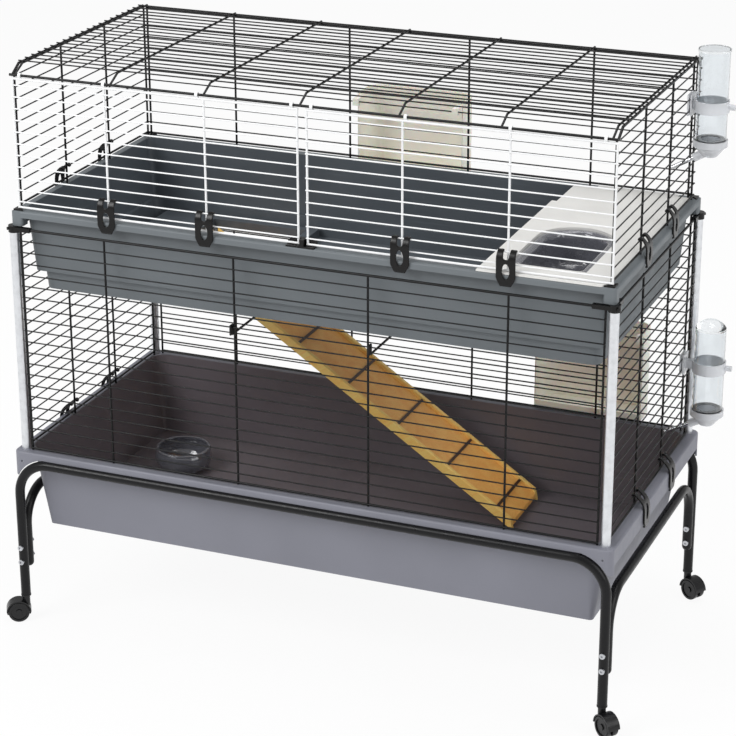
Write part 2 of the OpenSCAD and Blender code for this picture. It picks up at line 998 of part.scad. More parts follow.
// D-shaped plan of a rack: flat open front on y = 0, round corners behind
module rack_plan(in) {
  w = rack_w - 2 * in;
  r = rack_r - in;
  translate([-w / 2, 0])
    square([w, rack_depth - rack_r]);
  translate([-w / 2 + r, 0])
    square([w - 2 * r, rack_depth - in]);
  for (s = [-1, 1])
    translate([s * (w / 2 - r), rack_depth - rack_r])
      circle(r = r);
}

// hay rack hung on one wire, open above and toward the cage
module hay_rack(gap, wire_drop) {
  hook_h = 14;
  hook_z = rack_h - wire_drop;
  difference() {
    linear_extrude(rack_h)
      rack_plan(0);
    translate([0, -eps, rack_wall])
      linear_extrude(rack_h)
        rack_plan(rack_wall);
  }
  translate([-rack_w / 2 + 1, 0, 0])
    cube([rack_w - 2, rack_wall, 14]);
  for (s = [-1, 1])
    translate([s * (rack_w / 2 - 7), 0, 0])
      difference() {
        translate([-6, -gap - 6, hook_z - hook_h / 2])
          cube([12, gap + 6 + rack_wall, hook_h]);
        translate([-7, -gap - wire_d / 2 - 0.2, hook_z - hook_h])
          cube([14, wire_d + 0.4, hook_h + wire_d / 2 + 0.05]);
      }
}

upper_rack_x = -8;
upper_rack_wire = upper_wire_z + 5 * upper_pitch;
upper_rack_gap = lower_plane_y + 3 - rear_plane;
lower_rack_x = lower_half_x - 230;
lower_rack_wire = lower_wire_z + 7 * wire_pitch;
rack_drop = 13;

module upper_hay_rack()
  color(straw)
    place()
      translate([upper_rack_x, rear_plane + upper_rack_gap, upper_rack_wire + rack_drop - rack_h])
        hay_rack(upper_rack_gap, rack_drop);

module lower_hay_rack()
  color(straw)
    place()
      translate([lower_rack_x, lower_plane_y + 3, lower_rack_wire + 6.6 - rack_h])
        hay_rack(3, 6.6);

neck_d = 40;
neck_l = 14;

module bottle_body(domed) {
  r = bottle_d / 2;
  dome = 16;
  dome_r = (r * r + dome * dome) / (2 * dome);
  h = domed ? bottle_h + 12 : bottle_h;
  top = domed ? h - dome : h;
  difference() {
    union() {
      cylinder(h = top, d = bottle_d);
      if (domed)
        intersection() {
          translate([0, 0, h - dome_r])
            sphere(r = dome_r);
          translate([0, 0, top - 1])
            cylinder(h = h, d = bottle_d);
        }
      else
        translate([0, 0, h - 3])
          cylinder(h = 3, d = bottle_d + 3);
      translate([0, 0, -neck_l])
        cylinder(h = neck_l + eps, d = neck_d);
    }
    translate([0, 0, 2])
      cylinder(h = top - 6, d = bottle_d - 3);
    translate([0, 0, -neck_l - eps])
      cylinder(h = neck_l + 4, d = neck_d - 3);
  }
}

cap_dish_h = 12;
cap_cone_h = 20;

// cap below a bottle, the tube leaving toward -X and down
module bottle_cap(tube_from, tube_to) {
  difference() {
    union() {
      translate([0, 0, -cap_dish_h])
        cylinder(h = cap_dish_h, d = bottle_d + 6);
      translate([0, 0, -cap_dish_h - cap_cone_h])
        cylinder(h = cap_cone_h, d1 = 28, d2 = bottle_d + 2);
      bar_between(tube_from, tube_from + 0.36 * (tube_to - tube_from), spout_d + 8, $fn);
    }
    translate([0, 0, -neck_l - 1])
      cylinder(h = neck_l + 2, d = neck_d + 0.6);
    bar_between(tube_from, tube_to, spout_d + 0.1, $fn);
  }
}

// steel drinking tube with the ball held in its end
module drinking_tube(tube_from, tube_to) {
  v = tube_to - tube_from;
  start = tube_from + 0.12 * v;
  difference() {
    bar_between(start, tube_to, spout_d, $fn);
    bar_between(start - 0.02 * v, tube_to - 4 * v / norm(v), spout_d - 2, $fn);
  }
  translate(tube_to)
    sphere(d = spout_d - 1.6);
}

// ring round a bottle with a clamp on the wires of a side panel
module bottle_holder(to_panel, z_low, z_high) {
  plate_out = -to_panel + wire_d / 2 + 0.05;
  plate_in = -to_panel - wire_d / 2 - 0.05;
  mid = (z_low + z_high) / 2;
  difference() {
    union() {
      translate([0, 0, mid - ring_h / 2])
        cylinder(h = ring_h, r = ring_out);
      translate([plate_out + eps, -7, mid - 8])
        cube([to_panel - ring_in + 1 - wire_d / 2 - eps, 14, 16]);
    }
    translate([0, 0, mid - ring_h])
      cylinder(h = 2 * ring_h, r = ring_in);
  }
  translate([plate_out, -16, z_low])
    cube([plate_t, 32, z_high - z_low]);
  translate([plate_in - plate_t, -16, z_low])
    cube([plate_t, 32, z_high - z_low]);
  translate([-to_panel, 0, mid])
    bar_x(wire_d + 2 * plate_t, 6, $fn);
  translate([ring_out - 1 + (knob_l + 1) / 2, 0, mid])
    bar_x(knob_l + 1, 11, $fn);
}

upper_tube_from = [-6, 0, -25];
upper_tube_to = [upper_half_x - 42 - upper_bottle_x, 0, upper_wire_z + 64 - upper_bottle_z];
lower_tube_from = [-6, 0, -22];
lower_tube_to = [lower_half_x - 50 - lower_bottle_x, 0, lower_wire_z - 3 - lower_bottle_z];
upper_ring_wire = upper_wire_z + 8 * upper_pitch;
lower_ring_wire = lower_wire_z + 6 * wire_pitch;
ring_reach = 9;

module at_upper_bottle(z)
  place()
    translate([upper_bottle_x, upper_bottle_y, z])
      children();

module at_lower_bottle(z)
  place()
    translate([lower_bottle_x, lower_bottle_y, z])
      children();

module upper_bottle()
  color(clear)
    at_upper_bottle(upper_bottle_z)
      bottle_body(false);

module upper_bottle_cap()
  color(cap_blue)
    at_upper_bottle(upper_bottle_z)
      bottle_cap(upper_tube_from, upper_tube_to);

module upper_drinking_tube()
  color(steel)
    at_upper_bottle(upper_bottle_z)
      drinking_tube(upper_tube_from, upper_tube_to);

module upper_bottle_holder()
  color(cap_blue)
    at_upper_bottle(0)
      bottle_holder(upper_bottle_x - side_plane, upper_ring_wire - ring_reach, upper_ring_wire + upper_pitch + ring_reach);

module lower_bottle()
  color(clear)
    at_lower_bottle(lower_bottle_z)
      bottle_body(true);

module lower_bottle_cap()
  color(cap_blue)
    at_lower_bottle(lower_bottle_z)
      bottle_cap(lower_tube_from, lower_tube_to);

module lower_drinking_tube()
  color(steel)
    at_lower_bottle(lower_bottle_z)
      drinking_tube(lower_tube_from, lower_tube_to);

module lower_bottle_holder()
  color(cap_blue)
    at_lower_bottle(0)
      bottle_holder(lower_bottle_x - lower_plane_x, lower_ring_wire - ring_reach, lower_ring_wire + wire_pitch + ring_reach);

upper_wall_r = 21;
step_z = upper_floor_z + step_h;

// upper tub, stepped in near its bottom; grow adds to every side
module upper_tub(grow, low, top) {
  translate([0, 0, top])
    tub_body(upper_wall_x + grow, upper_wall_y + grow, upper_wall_r + grow, upper_taper, top - step_z + min(grow, 0));
  dx = upper_taper * (top - step_z) + step_in;
  translate([0, 0, step_z + eps - grow])
    tub_body(
      upper_wall_x + grow - dx, upper_wall_y + grow - dx, upper_wall_r + grow,
      upper_taper, step_z + eps - grow - low);
}

module collar_box(in, low, top)
  translate([hole_x0 - collar_left + in, hole_y0 - collar_side + in, low])
    cube([hole_l + collar_left + collar_right - 2 * in, hole_w + 2 * collar_side - 2 * in, top - low]);

module hole_box(out, low, top)
  translate([hole_x0 - out, hole_y0 - out, low])
    cube([hole_l + 2 * out, hole_w + 2 * out, top - low]);

cradle_w = 16;

// two cradles on the hole's left wall that carry the ramp's pivot bar
module ramp_cradles() {
  inset = rail_t + 4;
  for (s = [-1, 1])
    translate([0, ramp_y + s * (ramp_w / 2 - inset - cradle_w / 2), 0])
      difference() {
        translate([hole_x0 - tray_wall, -cradle_w / 2, pivot_z - 10])
          cube([pivot_x - hole_x0 + tray_wall + 7, cradle_w, 24]);
        translate([pivot_x, 0, pivot_z])
          bar_y(2 * cradle_w, 2 * pivot_r + 2 * run_gap, $fn);
        translate([pivot_x - pivot_r - run_gap, -cradle_w, pivot_z])
          cube([2 * pivot_r + 2 * run_gap, 2 * cradle_w, 20]);
      }
}

// feet under the rim corners, standing on the post connectors
module corner_feet() {
  for (sx = [-1, 1], sy = [-1, 1])
    translate([sx * (upper_half_x - foot_w / 2), sy * (upper_half_y - foot_w / 2), collar_top])
      slab(foot_w / 2, foot_w / 2, upper_rim_r, foot_h + upper_band - rim_plate / 2);
}

module upper_tray()
  color(dark_grey)
    place() {
      difference() {
        union() {
          difference() {
            union() {
              translate([0, 0, upper_rim_z])
                tray_rim(upper_half_x, upper_half_y, upper_rim_r, upper_band);
              upper_tub(0, upper_floor_z, upper_rim_z - rim_plate / 2);
            }
            upper_tub(-tray_wall, upper_inside_z, upper_rim_z + eps);
          }
          collar_box(0, upper_floor_z, collar_z);
        }
        difference() {
          collar_box(tray_wall, upper_floor_z - eps, collar_z - tray_wall);
          hole_box(tray_wall, upper_floor_z - 2 * eps, collar_z);
        }
        hole_box(0, upper_floor_z - 2 * eps, collar_z + eps);
      }
      ramp_cradles();
      corner_feet();
    }

side_front = 14.5 - upper_half_y;
side_back = rear_plane - 1.6;
upper_side_half = (side_back - side_front) / 2;
upper_side_mid = (side_back + side_front) / 2;
side_top_z = roof_z - 4;

// side panel drawn in the X-Z plane, its front toward -X, its top cut by the chamfer
module upper_side_panel() {
  front = side_front;
  back = side_back;
  slope = front_drop / (chamfer_y - door_plane);
  front_top = side_top_z - slope * (chamfer_y - front - 3) - 1;
  for (i = [0 : upper_wires - 2])
    translate([upper_side_mid, 0, upper_wire_z + i * upper_pitch])
      bar_x(2 * upper_side_half, i == 0 ? cross_d : wire_d);
  bar_between([chamfer_y, 0, side_top_z], [back, 0, side_top_z], edge_d);
  bar_between([front + 3, 0, front_top], [chamfer_y, 0, side_top_z], edge_d);
  for (x = [chamfer_y, front + 3])
    translate([x, 0, x == chamfer_y ? side_top_z : front_top])
      sphere(d = edge_d + 0.3, $fn = 2 * wire_fn);
  translate([(chamfer_y - 10 + back) / 2, 0, upper_wire_z + (upper_wires - 1) * upper_pitch])
    bar_x(back - chamfer_y + 10, wire_d);
  for (x = [front + 3, -upper_cross_y, upper_cross_y, back - 3])
    translate([x, cross_back, upper_rim_z])
      cylinder(h = (x < chamfer_y ? front_top : side_top_z) - upper_rim_z, d = cross_d, $fn = wire_fn);
}

module upper_left_panel()
  color(black)
    place()
      translate([-side_plane, 0, 0])
        rotate([0, 0, 90])
          mirror([0, 1, 0])
            upper_side_panel();

module upper_right_panel()
  color(black)
    place()
      translate([side_plane, 0, 0])
        rotate([0, 0, 90])
          upper_side_panel();

rear_half = side_plane + 1.3;
rear_top_z = roof_cross_z - (cross_d + edge_d) / 2 - 0.1;

module upper_rear_panel()
  color(black)
    place()
      translate([0, rear_plane, 0])
        mirror([0, 1, 0]) {
          for (i = [0 : upper_wires - 1])
            translate([0, 0, upper_wire_z + i * upper_pitch])
              bar_x(i == 0 ? 2 * side_plane - 7 : 2 * rear_half, i == 0 ? cross_d : wire_d);
          translate([0, 0, rear_top_z])
            bar_x(2 * side_plane - 12, edge_d);
          for (x = [-side_plane + 10, -3 * upper_cross_x, -upper_cross_x, upper_cross_x, 3 * upper_cross_x, side_plane - 10])
            translate([x, cross_back, upper_rim_z])
              cylinder(h = rear_top_z - upper_rim_z, d = cross_d, $fn = wire_fn);
        }

roof_step = (rear_plane - 17 - chamfer_y - 4) / (roof_wires - 1);

roof_cross_gap = 187;

module roof_panel()
  color(black)
    place() {
      for (i = [0 : roof_wires - 1])
        translate([0, chamfer_y + 4 + i * roof_step, roof_z])
          bar_x(2 * side_plane + 5, wire_d);
      for (x = [-side_plane + 8, for (k = [-2 : 2]) k * roof_cross_gap, side_plane - 8]) {
        bar_between([x, chamfer_y, roof_cross_z], [x, rear_plane + 2, roof_cross_z], cross_d);
        bar_between([x, chamfer_y, roof_cross_z], [x, door_plane, bar_z], cross_d);
        translate([x, chamfer_y, roof_cross_z])
          sphere(d = cross_d + 0.3, $fn = 2 * wire_fn);
      }
      translate([0, door_plane, bar_z])
        bar_x(2 * side_plane + 5, edge_d);
    }

door_top_z = bar_z - ring_r - edge_d / 2 + 1;

// door hung on the front bar by rings at its crossing wires
module door(left, right, crosses, rings) {
  mid = (left + right) / 2;
  half = (right - left) / 2;
  translate([mid, door_wire_plane, 0])
    for (i = [0 : door_wires - 1])
      translate([0, 0, door_wire_z + i * upper_pitch])
        bar_x(2 * half, wire_d);
  translate([mid, door_plane, door_low_z])
    bar_x(2 * half, cross_d);
  translate([mid, door_plane, door_top_z])
    bar_x(2 * half, edge_d);
  for (x = crosses)
    translate([x, door_plane, door_low_z])
      cylinder(h = door_top_z - door_low_z, d = cross_d, $fn = wire_fn);
  difference() {
    for (x = rings)
      translate([x, door_plane, bar_z])
        bar_x(5, 2 * ring_r, $fn);
    translate([mid, door_plane, bar_z])
      bar_x(2 * half + 20, edge_d + 2 * run_gap);
  }
}

left_door_right = door_mid - door_gap / 2;
right_door_left = door_mid + door_gap / 2;
door_right = side_plane + 3;
edge_in = cross_d / 2;
left_clips = [-387, -187];
right_clips = [194, 391];

module left_door()
  color(white)
    place()
      door(
        door_left, left_door_right,
        [door_left + edge_in, left_clips[0], left_clips[1], left_door_right - edge_in],
        [door_left + 18, left_clips[0], left_clips[1] - 13, left_door_right - 12]);

module right_door()
  color(white)
    place()
      door(
        right_door_left, door_right,
        [right_door_left + edge_in, right_clips[0], right_clips[1], door_right - edge_in],
        [right_door_left + 12, right_clips[0] + 6, right_clips[1], door_right - 22]);

module door_clip_at(x)
  color(clip_black)
    place()
      translate([x, door_wire_plane, door_clip_z])
        clip(door_clip_reach, door_clip_drop, door_clip_rise, clip_hook);

module left_door_outer_clip()
  door_clip_at(left_clips[0]);

module left_door_inner_clip()
  door_clip_at(left_clips[1]);

module right_door_inner_clip()
  door_clip_at(right_clips[0]);

module right_door_outer_clip()
  door_clip_at(right_clips[1]);

// foot on the front rim that both doors close against
module centre_foot()
  color(black)
    place()
      difference() {
        translate([0, door_plane, upper_rim_z])
          union() {
            translate([-27, -9, 0])
              cube([55, 19, 3]);
            translate([-27, 3, 0])
              cube([55, 7, 15]);
            translate([door_mid - 4, -9, 0])
              cube([8, 19, 15]);
          }
        translate([-27, door_plane - 10, upper_rim_z + 8])
          rotate([0, -45, 0])
            cube([20, 21, 20]);
        translate([28, door_plane - 10, upper_rim_z + 8])
          rotate([0, -45, 0])
            cube([20, 21, 20]);
      }

corner_plate_l = 20;
corner_plate_t = 3;

module rim_corner_blocks()
  color(black)
    place()
      for (sx = [0, 1], sy = [0, 1])
        mirror([sx, 0, 0])
          mirror([0, sy, 0])
            translate([upper_half_x - rim_round, upper_half_y - rim_round, upper_rim_z])
              linear_extrude(corner_plate_t)
                polygon([[0, 0], [-corner_plate_l, 0], [0, -corner_plate_l]]);

// D-shaped plan of the shelter's bay; in makes it smaller all round
module bay_plan(in) {
  translate([-bay_r + in, bay_y0 + in])
    square([2 * (bay_r - in), bay_yc - bay_y0 - in]);
  translate([0, bay_yc])
    circle(r = bay_r - in);
}

shelter_front = -upper_half_y + 1;
shelter_back = rear_plane - 6;
notch_y = 145;
shelter_chamfer = corner_plate_l + 1;
tongue_l = 160;

module shelter()
  color(cream)
    place()
      difference() {
        union() {
          translate([shelter_x + 10, shelter_front, upper_rim_z])
            cube([shelter_right - shelter_x - 10, shelter_back - shelter_front, shelter_t]);
          translate([shelter_x, shelter_front, upper_rim_z])
            cube([20, notch_y - shelter_front, shelter_t]);
          translate([shelter_x, -upper_wall_y + 8, upper_rim_z - 14])
            cube([3, notch_y + upper_wall_y - 8, 15]);
          translate([bay_x - 57, shelter_back - 1, upper_rim_z])
            cube([tongue_l, 12, shelter_t]);
          translate([bay_x, 0, upper_rim_z - bay_step - 3])
            linear_extrude(bay_step + 4)
              bay_plan(-3);
        }
        translate([bay_x, 0, upper_rim_z + shelter_t - bay_step])
          linear_extrude(bay_step + eps)
            bay_plan(0);
        translate([bay_x, 0, upper_rim_z - bay_step - 5])
          linear_extrude(bay_step + 20)
            bay_plan(bay_lip);
        translate([upper_half_x - rim_round, rim_round - upper_half_y, upper_rim_z - eps])
          linear_extrude(shelter_t + 2 * eps)
            polygon([[10, -10], [-shelter_chamfer - 10, -10], [10, shelter_chamfer + 10]]);
      }

module upper_bowl()
  color(smoke)
    place()
      translate([bay_x, 0, 0])
        difference() {
          union() {
            translate([0, 0, upper_rim_z + shelter_t - bay_step])
              linear_extrude(3)
                bay_plan(slip);
            translate([0, 0, upper_rim_z + shelter_t - bay_step + 3 - upper_bowl_h])
              linear_extrude(upper_bowl_h - 1)
                bay_plan(bay_lip + 1);
          }
          translate([0, 0, upper_rim_z + shelter_t - bay_step + 6 - upper_bowl_h])
            linear_extrude(upper_bowl_h)
              bay_plan(bay_lip + 3.5);
        }

front_frame_tube();
rear_frame_tube();
left_frame_tube();
right_frame_tube();
frame_bolts();
caster_sockets();
front_left_caster_hood();
front_left_caster_wheels();
front_right_caster_hood();
front_right_caster_wheels();
rear_left_caster_hood();
rear_left_caster_wheels();
rear_right_caster_hood();
rear_right_caster_wheels();
lower_tray();
corner_posts();
post_connectors();
lower_front_panel();
lower_rear_panel();
lower_left_panel();
lower_right_panel();
support_rods();
lower_left_front_clip();
lower_left_rear_clip();
lower_right_front_clip();
lower_right_rear_clip();
ramp_deck();
ramp_rails();
ramp_treads();
lower_bowl();
lower_hay_rack();
lower_bottle();
lower_bottle_cap();
lower_drinking_tube();
lower_bottle_holder();
upper_tray();
upper_left_panel();
upper_right_panel();
upper_rear_panel();
roof_panel();
left_door();
right_door();
left_door_outer_clip();
left_door_inner_clip();
right_door_inner_clip();
right_door_outer_clip();
upper_left_front_clip();
upper_left_rear_clip();
upper_right_front_clip();
upper_right_rear_clip();
centre_foot();
rim_corner_blocks();
shelter();
upper_bowl();
upper_hay_rack();
upper_bottle();
upper_bottle_cap();
upper_drinking_tube();
upper_bottle_holder();
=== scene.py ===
"""Two-storey rabbit cage on its stand: camera, materials, finer pieces for some nodes, and a studio."""
import json
import math

import bmesh
import bpy
from mathutils import Euler, Matrix, Vector


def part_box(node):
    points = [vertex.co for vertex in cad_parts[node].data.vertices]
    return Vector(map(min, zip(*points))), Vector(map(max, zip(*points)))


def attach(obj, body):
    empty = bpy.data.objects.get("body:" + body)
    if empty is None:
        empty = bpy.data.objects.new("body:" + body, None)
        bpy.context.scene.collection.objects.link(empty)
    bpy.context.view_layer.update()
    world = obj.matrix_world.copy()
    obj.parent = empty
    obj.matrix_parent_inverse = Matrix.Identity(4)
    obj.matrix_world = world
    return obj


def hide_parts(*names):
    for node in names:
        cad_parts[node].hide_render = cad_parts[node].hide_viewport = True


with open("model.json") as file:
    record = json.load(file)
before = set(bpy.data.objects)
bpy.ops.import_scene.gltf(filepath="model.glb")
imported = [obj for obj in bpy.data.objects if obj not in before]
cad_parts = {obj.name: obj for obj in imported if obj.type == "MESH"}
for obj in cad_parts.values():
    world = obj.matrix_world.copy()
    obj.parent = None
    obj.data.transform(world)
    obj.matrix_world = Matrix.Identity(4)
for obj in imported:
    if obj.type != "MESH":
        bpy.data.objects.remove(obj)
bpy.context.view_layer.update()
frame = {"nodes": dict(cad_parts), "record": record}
nodes = frame["nodes"]
JOINTS = {joint["name"]: joint for joint in frame["record"]["behaviour"]["joints"]}
scene = bpy.context.scene

# the cage's plan centre in the frame, in metres
tray_low, tray_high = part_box("lower_tray")
CAGE_X = (tray_low[0] + tray_high[0]) / 2
CAGE_Y = (tray_low[1] + tray_high[1]) / 2


def cage(x, y, z):
    """A place given in cage millimetres, in metres in the frame."""
    return Vector((x / 1000 + CAGE_X, y / 1000 + CAGE_Y, z / 1000))


# camera, fitted to the photograph's corners; its place is in cage millimetres
FOCAL_PX = 2410.23
FRAME_PX = 736
SENSOR_MM = 36.0
CAMERA_AT = (1656.0, -4022.0, 2236.4)
YAW, PITCH, ROLL = math.radians(22.16), math.radians(21.56), -0.0019
CLIP_END = 40.0
camera_data = bpy.data.cameras.new("camera")
camera_data.sensor_width = SENSOR_MM
camera_data.lens = FOCAL_PX / FRAME_PX * SENSOR_MM
camera_data.clip_end = CLIP_END
camera = bpy.data.objects.new("camera", camera_data)
turn = Euler((math.pi / 2 - PITCH, 0, YAW)).to_matrix() @ Matrix.Rotation(ROLL, 3, "Z")
camera.matrix_world = Matrix.Translation(cage(*CAMERA_AT)) @ turn.to_4x4()
scene.collection.objects.link(camera)
scene.camera = camera


def srgb(r, g, b):
    """Linear colour of a display colour given from 0 to 255."""
    def one(v):
        v /= 255
        return v / 12.92 if v <= 0.04045 else ((v + 0.055) / 1.055) ** 2.4
    return (one(r), one(g), one(b), 1.0)


def scaled(colour, k):
    """The colour with its light multiplied by k."""
    return tuple(min(c * k, 1) for c in colour[:3]) + (1.0,)


# most of a noise texture's values lie between these two
MOST = (0.3, 0.7)


class Shader:
    """One node material, with small helpers for its graph."""

    def __init__(self, name, **plain):
        self.material = bpy.data.materials.new(name)
        self.material.use_nodes = True
        self.tree = self.material.node_tree
        self.bsdf = self.tree.nodes["Principled BSDF"]
        for key, value in plain.items():
            self.bsdf.inputs[key.replace("_", " ")].default_value = value
        self.coords = self.add("ShaderNodeTexCoord").outputs["Object"]

    def add(self, kind, **settings):
        """A new node with these settings."""
        node = self.tree.nodes.new(kind)
        for key, value in settings.items():
            setattr(node, key, value)
        return node

    def put(self, socket, value):
        """Links an output to the socket, or sets a number or colour on it."""
        if isinstance(value, bpy.types.NodeSocket):
            self.tree.links.new(value, socket)
        elif value is not None:
            socket.default_value = value

    def math(self, op, a, b=None):
        """One step of arithmetic on numbers."""
        node = self.add("ShaderNodeMath", operation=op)
        for socket, value in zip(node.inputs, (a, b)):
            self.put(socket, value)
        return node.outputs[0]

    def less(self, a, b):
        """Vector a less vector b."""
        node = self.add("ShaderNodeVectorMath", operation="SUBTRACT")
        for socket, value in zip(node.inputs, (a, b)):
            self.put(socket, value)
        return node.outputs[0]

    def place(self, stretch=(1, 1, 1), turned=(0, 0, 0), source=None):
        """Object coordinates, or the source's, turned and stretched."""
        node = self.add("ShaderNodeMapping")
        self.put(node.inputs["Vector"], source or self.coords)
        node.inputs["Rotation"].default_value = turned
        node.inputs["Scale"].default_value = stretch
        return node.outputs[0]

    def noise(self, scale, detail=3.0, rough=0.55, source=None, distortion=0.0):
        """A noise texture in object coordinates, or in the source's."""
        node = self.add("ShaderNodeTexNoise")
        self.put(node.inputs["Vector"], source or self.coords)
        node.inputs["Scale"].default_value = scale
        node.inputs["Detail"].default_value = detail
        node.inputs["Roughness"].default_value = rough
        node.inputs["Distortion"].default_value = distortion
        return node.outputs[0]

    def span(self, value, low, high, to_low=0.0, to_high=1.0):
        """The value carried from one range to another, held at its ends."""
        node = self.add("ShaderNodeMapRange")
        names = ("Value", "From Min", "From Max", "To Min", "To Max")
        for name, number in zip(names, (value, low, high, to_low, to_high)):
            self.put(node.inputs[name], number)
        return node.outputs[0]

    def mix(self, factor, a, b):
        """Colour a at factor 0, colour b at factor 1."""
        node = self.add("ShaderNodeMix", data_type="RGBA")
        self.put(node.inputs[0], factor)
        self.put(node.inputs[6], a)
        self.put(node.inputs[7], b)
        return node.outputs[2]

    def xyz(self, source):
        """The three parts of a vector."""
        node = self.add("ShaderNodeSeparateXYZ")
        self.put(node.inputs[0], source)
        return node.outputs

    def colour(self, value):
        """Sets the base colour."""
        self.put(self.bsdf.inputs["Base Color"], value)

    def roughness(self, value):
        """Sets the roughness."""
        self.put(self.bsdf.inputs["Roughness"], value)

    def bump(self, height, distance, strength):
        """Sets a bump of this height map, its distance in metres."""
        node = self.add("ShaderNodeBump")
        self.put(node.inputs["Height"], height)
        node.inputs["Distance"].default_value = distance
        node.inputs["Strength"].default_value = strength
        self.put(self.bsdf.inputs["Normal"], node.outputs[0])


def coated(name, colour, rough, worn, grain=0.00004, **plain):
    """Powder coat on steel: orange peel, with pale dust in some patches."""
    s = Shader(name, **plain)
    patches = s.noise(9.0, 4.0)
    fine = s.noise(420.0, 2.0)
    dust = s.span(patches, 0.42, 0.72)
    s.colour(s.mix(s.math("MULTIPLY", dust, worn), colour, scaled(colour, 1.9)))
    s.roughness(s.span(s.noise(60.0, 3.0), *MOST, rough - 0.07, rough + 0.1))
    s.bump(fine, grain, 0.6)
    return s.material


def moulded(name, colour, rough, grain=0.00006, scale=900.0, tone=0.06, **plain):
    """Moulded plastic with a fine spark-eroded grain and a slightly uneven tone."""
    s = Shader(name, **plain)
    s.colour(s.mix(s.span(s.noise(7.0, 4.0), *MOST), scaled(colour, 1 - tone), scaled(colour, 1 + tone)))
    s.roughness(s.span(s.noise(34.0, 4.0), *MOST, rough - 0.05, rough + 0.07))
    s.bump(s.noise(scale, 3.0), grain, 0.6)
    return s.material


def tray_plastic(name, outside, inside, half, radius, taper, rim_z, floor_z, step_z=0.0, step_in=0.0):
    """Tub plastic: matt grained outside, and a smoother face inside with fine scratches, whose darker
    colour is painted shade.

    The inside is what lies within the tub's cavity: half its size and its corner radius at the rim, which
    shrink by the taper with depth, and from step_z down by step_in more.
    """
    s = Shader(name)
    x, y, z = s.xyz(s.less(s.coords, (CAGE_X, CAGE_Y, 0.0)))
    below = s.math("LESS_THAN", z, step_z)
    top = s.span(below, 0.0, 1.0, rim_z, step_z or rim_z)
    inset = s.math("MULTIPLY", below, step_in)
    limit = s.math("SUBTRACT", radius, s.math("MULTIPLY", s.math("SUBTRACT", top, z), taper))

    def over(value, straight):
        """Square of how far the value is past the straight part."""
        past = s.math("ADD", s.math("SUBTRACT", s.math("ABSOLUTE", value), straight), inset)
        return s.math("POWER", s.math("MAXIMUM", past, 0.0), 2.0)

    reach = s.math("SQRT", s.math("ADD", over(x, half[0] - radius), over(y, half[1] - radius)))
    within = s.math("MULTIPLY", s.math("LESS_THAN", reach, limit), s.math("GREATER_THAN", z, floor_z))
    patches = s.noise(5.0, 4.0)
    matt = s.mix(s.span(patches, *MOST), scaled(outside, 0.94), scaled(outside, 1.06))
    long_marks = s.noise(160.0, 2.0, source=s.place((0.04, 1.0, 1.0), (0, 0, 0.35)))
    cross_marks = s.noise(150.0, 2.0, source=s.place((1.0, 0.05, 1.0), (0, 0, -0.5)))
    marks = s.math("MAXIMUM", s.span(long_marks, 0.64, 0.72), s.span(cross_marks, 0.66, 0.74))
    # painted shade: the inside colour is darker than the outside to stand in for the shade within the tub
    shaded_inside = s.mix(s.span(patches, *MOST), scaled(inside, 0.92), scaled(inside, 1.08))
    shaded_inside = s.mix(s.math("MULTIPLY", marks, 0.3), shaded_inside, scaled(inside, 1.5))
    s.colour(s.mix(within, matt, shaded_inside))
    rough_outside = s.span(s.noise(40.0, 3.0), *MOST, 0.46, 0.58)
    rough_inside = s.span(s.noise(18.0, 4.0), *MOST, 0.3, 0.44)
    s.roughness(s.mix(within, rough_outside, rough_inside))
    s.bump(s.noise(1100.0, 3.0), 0.00005, 0.6)
    return s.material


def timber(name, light, dark, tilt, ring=26.0):
    """Stained softwood with its grain along the ramp, darker late wood and a thin satin varnish."""
    s = Shader(name, Coat_Weight=0.15, Coat_Roughness=0.35)
    along = s.place((1.0, 14.0, 14.0), (0, 0, 0), s.place((1, 1, 1), (0, tilt, 0)))
    broad = s.noise(ring / 10, 3.0, source=along, distortion=0.6)
    lines = s.noise(ring, 5.0, 0.65, source=along, distortion=0.25)
    pores = s.noise(ring * 7, 2.0, source=along)
    tone = s.mix(s.span(broad, 0.35, 0.65), light, s.mix(0.45, light, dark))
    tone = s.mix(s.span(lines, 0.5, 0.72, 0.0, 0.7), tone, dark)
    s.colour(s.mix(s.span(pores, 0.62, 0.75, 0.0, 0.35), tone, scaled(dark, 0.6)))
    s.roughness(s.span(lines, *MOST, 0.42, 0.6))
    s.bump(lines, 0.0003, 0.5)
    return s.material


def clear(name, tint, rough, weight, **plain):
    """Clear or smoked moulding with faint flow waves and rubbed places."""
    s = Shader(name, Transmission_Weight=weight, IOR=1.47, **plain)
    s.colour(s.mix(s.span(s.noise(12.0, 3.0), 0.35, 0.65), tint, scaled(tint, 0.94)))
    s.roughness(s.span(s.noise(55.0, 4.0), 0.45, 0.75, rough, rough + 0.1))
    s.bump(s.noise(45.0, 2.0), 0.0002, 0.25)
    return s.material


def metal(name, colour, rough):
    """Plated or polished metal with fine marks and faint stains."""
    s = Shader(name, Metallic=1.0)
    stain = s.noise(70.0, 4.0)
    s.colour(s.mix(s.span(stain, 0.45, 0.75, 0.0, 0.5), colour, scaled(colour, 0.72)))
    s.roughness(s.span(stain, *MOST, rough - 0.04, rough + 0.12))
    s.bump(s.noise(800.0, 2.0, source=s.place((1, 1, 0.1))), 0.00003, 0.5)
    return s.material


